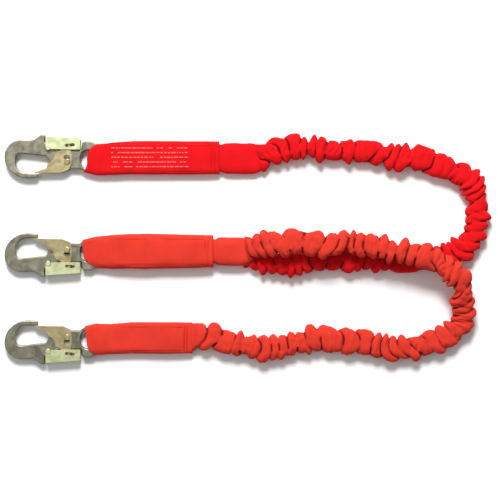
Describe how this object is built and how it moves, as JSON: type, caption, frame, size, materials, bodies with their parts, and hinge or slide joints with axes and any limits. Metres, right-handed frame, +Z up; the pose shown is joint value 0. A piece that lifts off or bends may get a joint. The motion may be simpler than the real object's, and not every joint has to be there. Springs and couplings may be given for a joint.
{
  "type": "shock absorbing lanyard",
  "caption": "Twin leg fall arrest lanyard with double locking snap hooks, flat protective sleeves and gathered elastic shock absorbing legs.",
  "frame": {"origin": "on the floor, straight under the middle of the centre hook's eye bar, about which that hook swings", "axes": "+X runs from the hooks towards the legs, +Y towards the upper hook, +Z up from the surface it lies on"},
  "size_m": [0.6478, 0.3056, 0.046],
  "materials": {
    "zinc_steel": "zinc plated, satin",
    "yellow_zinc": "yellow zinc dichromate, satin",
    "pale_zinc": "pale zinc dichromate, satin",
    "spring_steel": "dark plated",
    "red_web": "gathered woven polyester",
    "orange_red_web": "gathered woven polyester",
    "red_sleeve": "flat woven polyester",
    "orange_red_sleeve": "flat woven polyester",
    "core_web": "woven core",
    "thread": "bar tack thread",
    "label_print": "printed fabric"
  },
  "bodies": {
    "root": {"upper_sleeve": "red_sleeve", "upper_end_web": "red_web", "upper_stitching": "thread", "center_sleeve": "orange_red_sleeve", "center_end_web": "orange_red_web", "center_stitching": "thread", "lower_sleeve": "orange_red_sleeve", "lower_end_web": "orange_red_web", "lower_stitching": "thread", "upper_label": "label_print", "upper_leg_jacket": "red_web", "upper_leg_core": "core_web", "lower_leg_jacket": "orange_red_web", "lower_leg_core": "core_web"},
    "upper_hook": {"upper_hook_body": "zinc_steel", "upper_gate_rivet": "yellow_zinc", "upper_gate_spring": "spring_steel", "upper_lever_rivet": "pale_zinc", "upper_lever_spring": "spring_steel", "upper_wear_pad": "core_web", "upper_web_loop": "red_web"},
    "upper_gate_arm": {"upper_gate": "yellow_zinc", "upper_lock_pin": "spring_steel"},
    "upper_lever_arm": {"upper_lock_lever": "pale_zinc"},
    "center_hook": {"center_hook_body": "zinc_steel", "center_gate_rivet": "yellow_zinc", "center_gate_spring": "spring_steel", "center_lever_rivet": "pale_zinc", "center_lever_spring": "spring_steel", "center_wear_pad": "core_web", "center_web_loop": "orange_red_web"},
    "center_gate_arm": {"center_gate": "yellow_zinc", "center_lock_pin": "spring_steel"},
    "center_lever_arm": {"center_lock_lever": "pale_zinc"},
    "lower_hook": {"lower_hook_body": "zinc_steel", "lower_gate_rivet": "yellow_zinc", "lower_gate_spring": "spring_steel", "lower_lever_rivet": "pale_zinc", "lower_lever_spring": "spring_steel", "lower_wear_pad": "core_web", "lower_web_loop": "orange_red_web"},
    "lower_gate_arm": {"lower_gate": "yellow_zinc", "lower_lock_pin": "spring_steel"},
    "lower_lever_arm": {"lower_lock_lever": "pale_zinc"}
  },
  "joints": [
    {"name": "upper_hook_swing", "type": "hinge", "parent": "root", "child": "upper_hook", "pos_m": [0, 0.124, 0.0083], "axis": [0, 1, 0], "range_deg": [-80, 80]},
    {"name": "upper_lever_press", "type": "hinge", "parent": "upper_hook", "child": "upper_lever_arm", "pos_m": [-0.07, 0.139, 0.0083], "axis": [0, 0, -1], "range_deg": [0, 5], "stiffness_Nm_per_rad": 0.6, "springref_deg": -11.46},
    {"name": "upper_gate_swing", "type": "hinge", "parent": "upper_hook", "child": "upper_gate_arm", "pos_m": [-0.0452, 0.1207, 0.0083], "axis": [0, 0, -1], "range_deg": [0, 26], "stiffness_Nm_per_rad": 0.05, "springref_deg": -17.19},
    {"name": "center_hook_swing", "type": "hinge", "parent": "root", "child": "center_hook", "pos_m": [0, 0, 0.0083], "axis": [0, 1, 0], "range_deg": [-80, 80]},
    {"name": "center_lever_press", "type": "hinge", "parent": "center_hook", "child": "center_lever_arm", "pos_m": [-0.07, -0.015, 0.0083], "axis": [0, 0, 1], "range_deg": [0, 5], "stiffness_Nm_per_rad": 0.6, "springref_deg": -11.46},
    {"name": "center_gate_swing", "type": "hinge", "parent": "center_hook", "child": "center_gate_arm", "pos_m": [-0.0452, 0.0033, 0.0083], "axis": [0, 0, 1], "range_deg": [0, 26], "stiffness_Nm_per_rad": 0.05, "springref_deg": -17.19},
    {"name": "lower_hook_swing", "type": "hinge", "parent": "root", "child": "lower_hook", "pos_m": [0, -0.116, 0.0083], "axis": [0, 1, 0], "range_deg": [-80, 80]},
    {"name": "lower_lever_press", "type": "hinge", "parent": "lower_hook", "child": "lower_lever_arm", "pos_m": [-0.07, -0.131, 0.0083], "axis": [0, 0, 1], "range_deg": [0, 5], "stiffness_Nm_per_rad": 0.6, "springref_deg": -11.46},
    {"name": "lower_gate_swing", "type": "hinge", "parent": "lower_hook", "child": "lower_gate_arm", "pos_m": [-0.0452, -0.1127, 0.0083], "axis": [0, 0, 1], "range_deg": [0, 26], "stiffness_Nm_per_rad": 0.05, "springref_deg": -17.19}
  ],
  "couplings": [
    {"joint": "upper_gate_swing", "follows": "upper_lever_press", "ratio": 5.2},
    {"joint": "center_gate_swing", "follows": "center_lever_press", "ratio": 5.2},
    {"joint": "lower_gate_swing", "follows": "lower_lever_press", "ratio": 5.2}
  ]
}
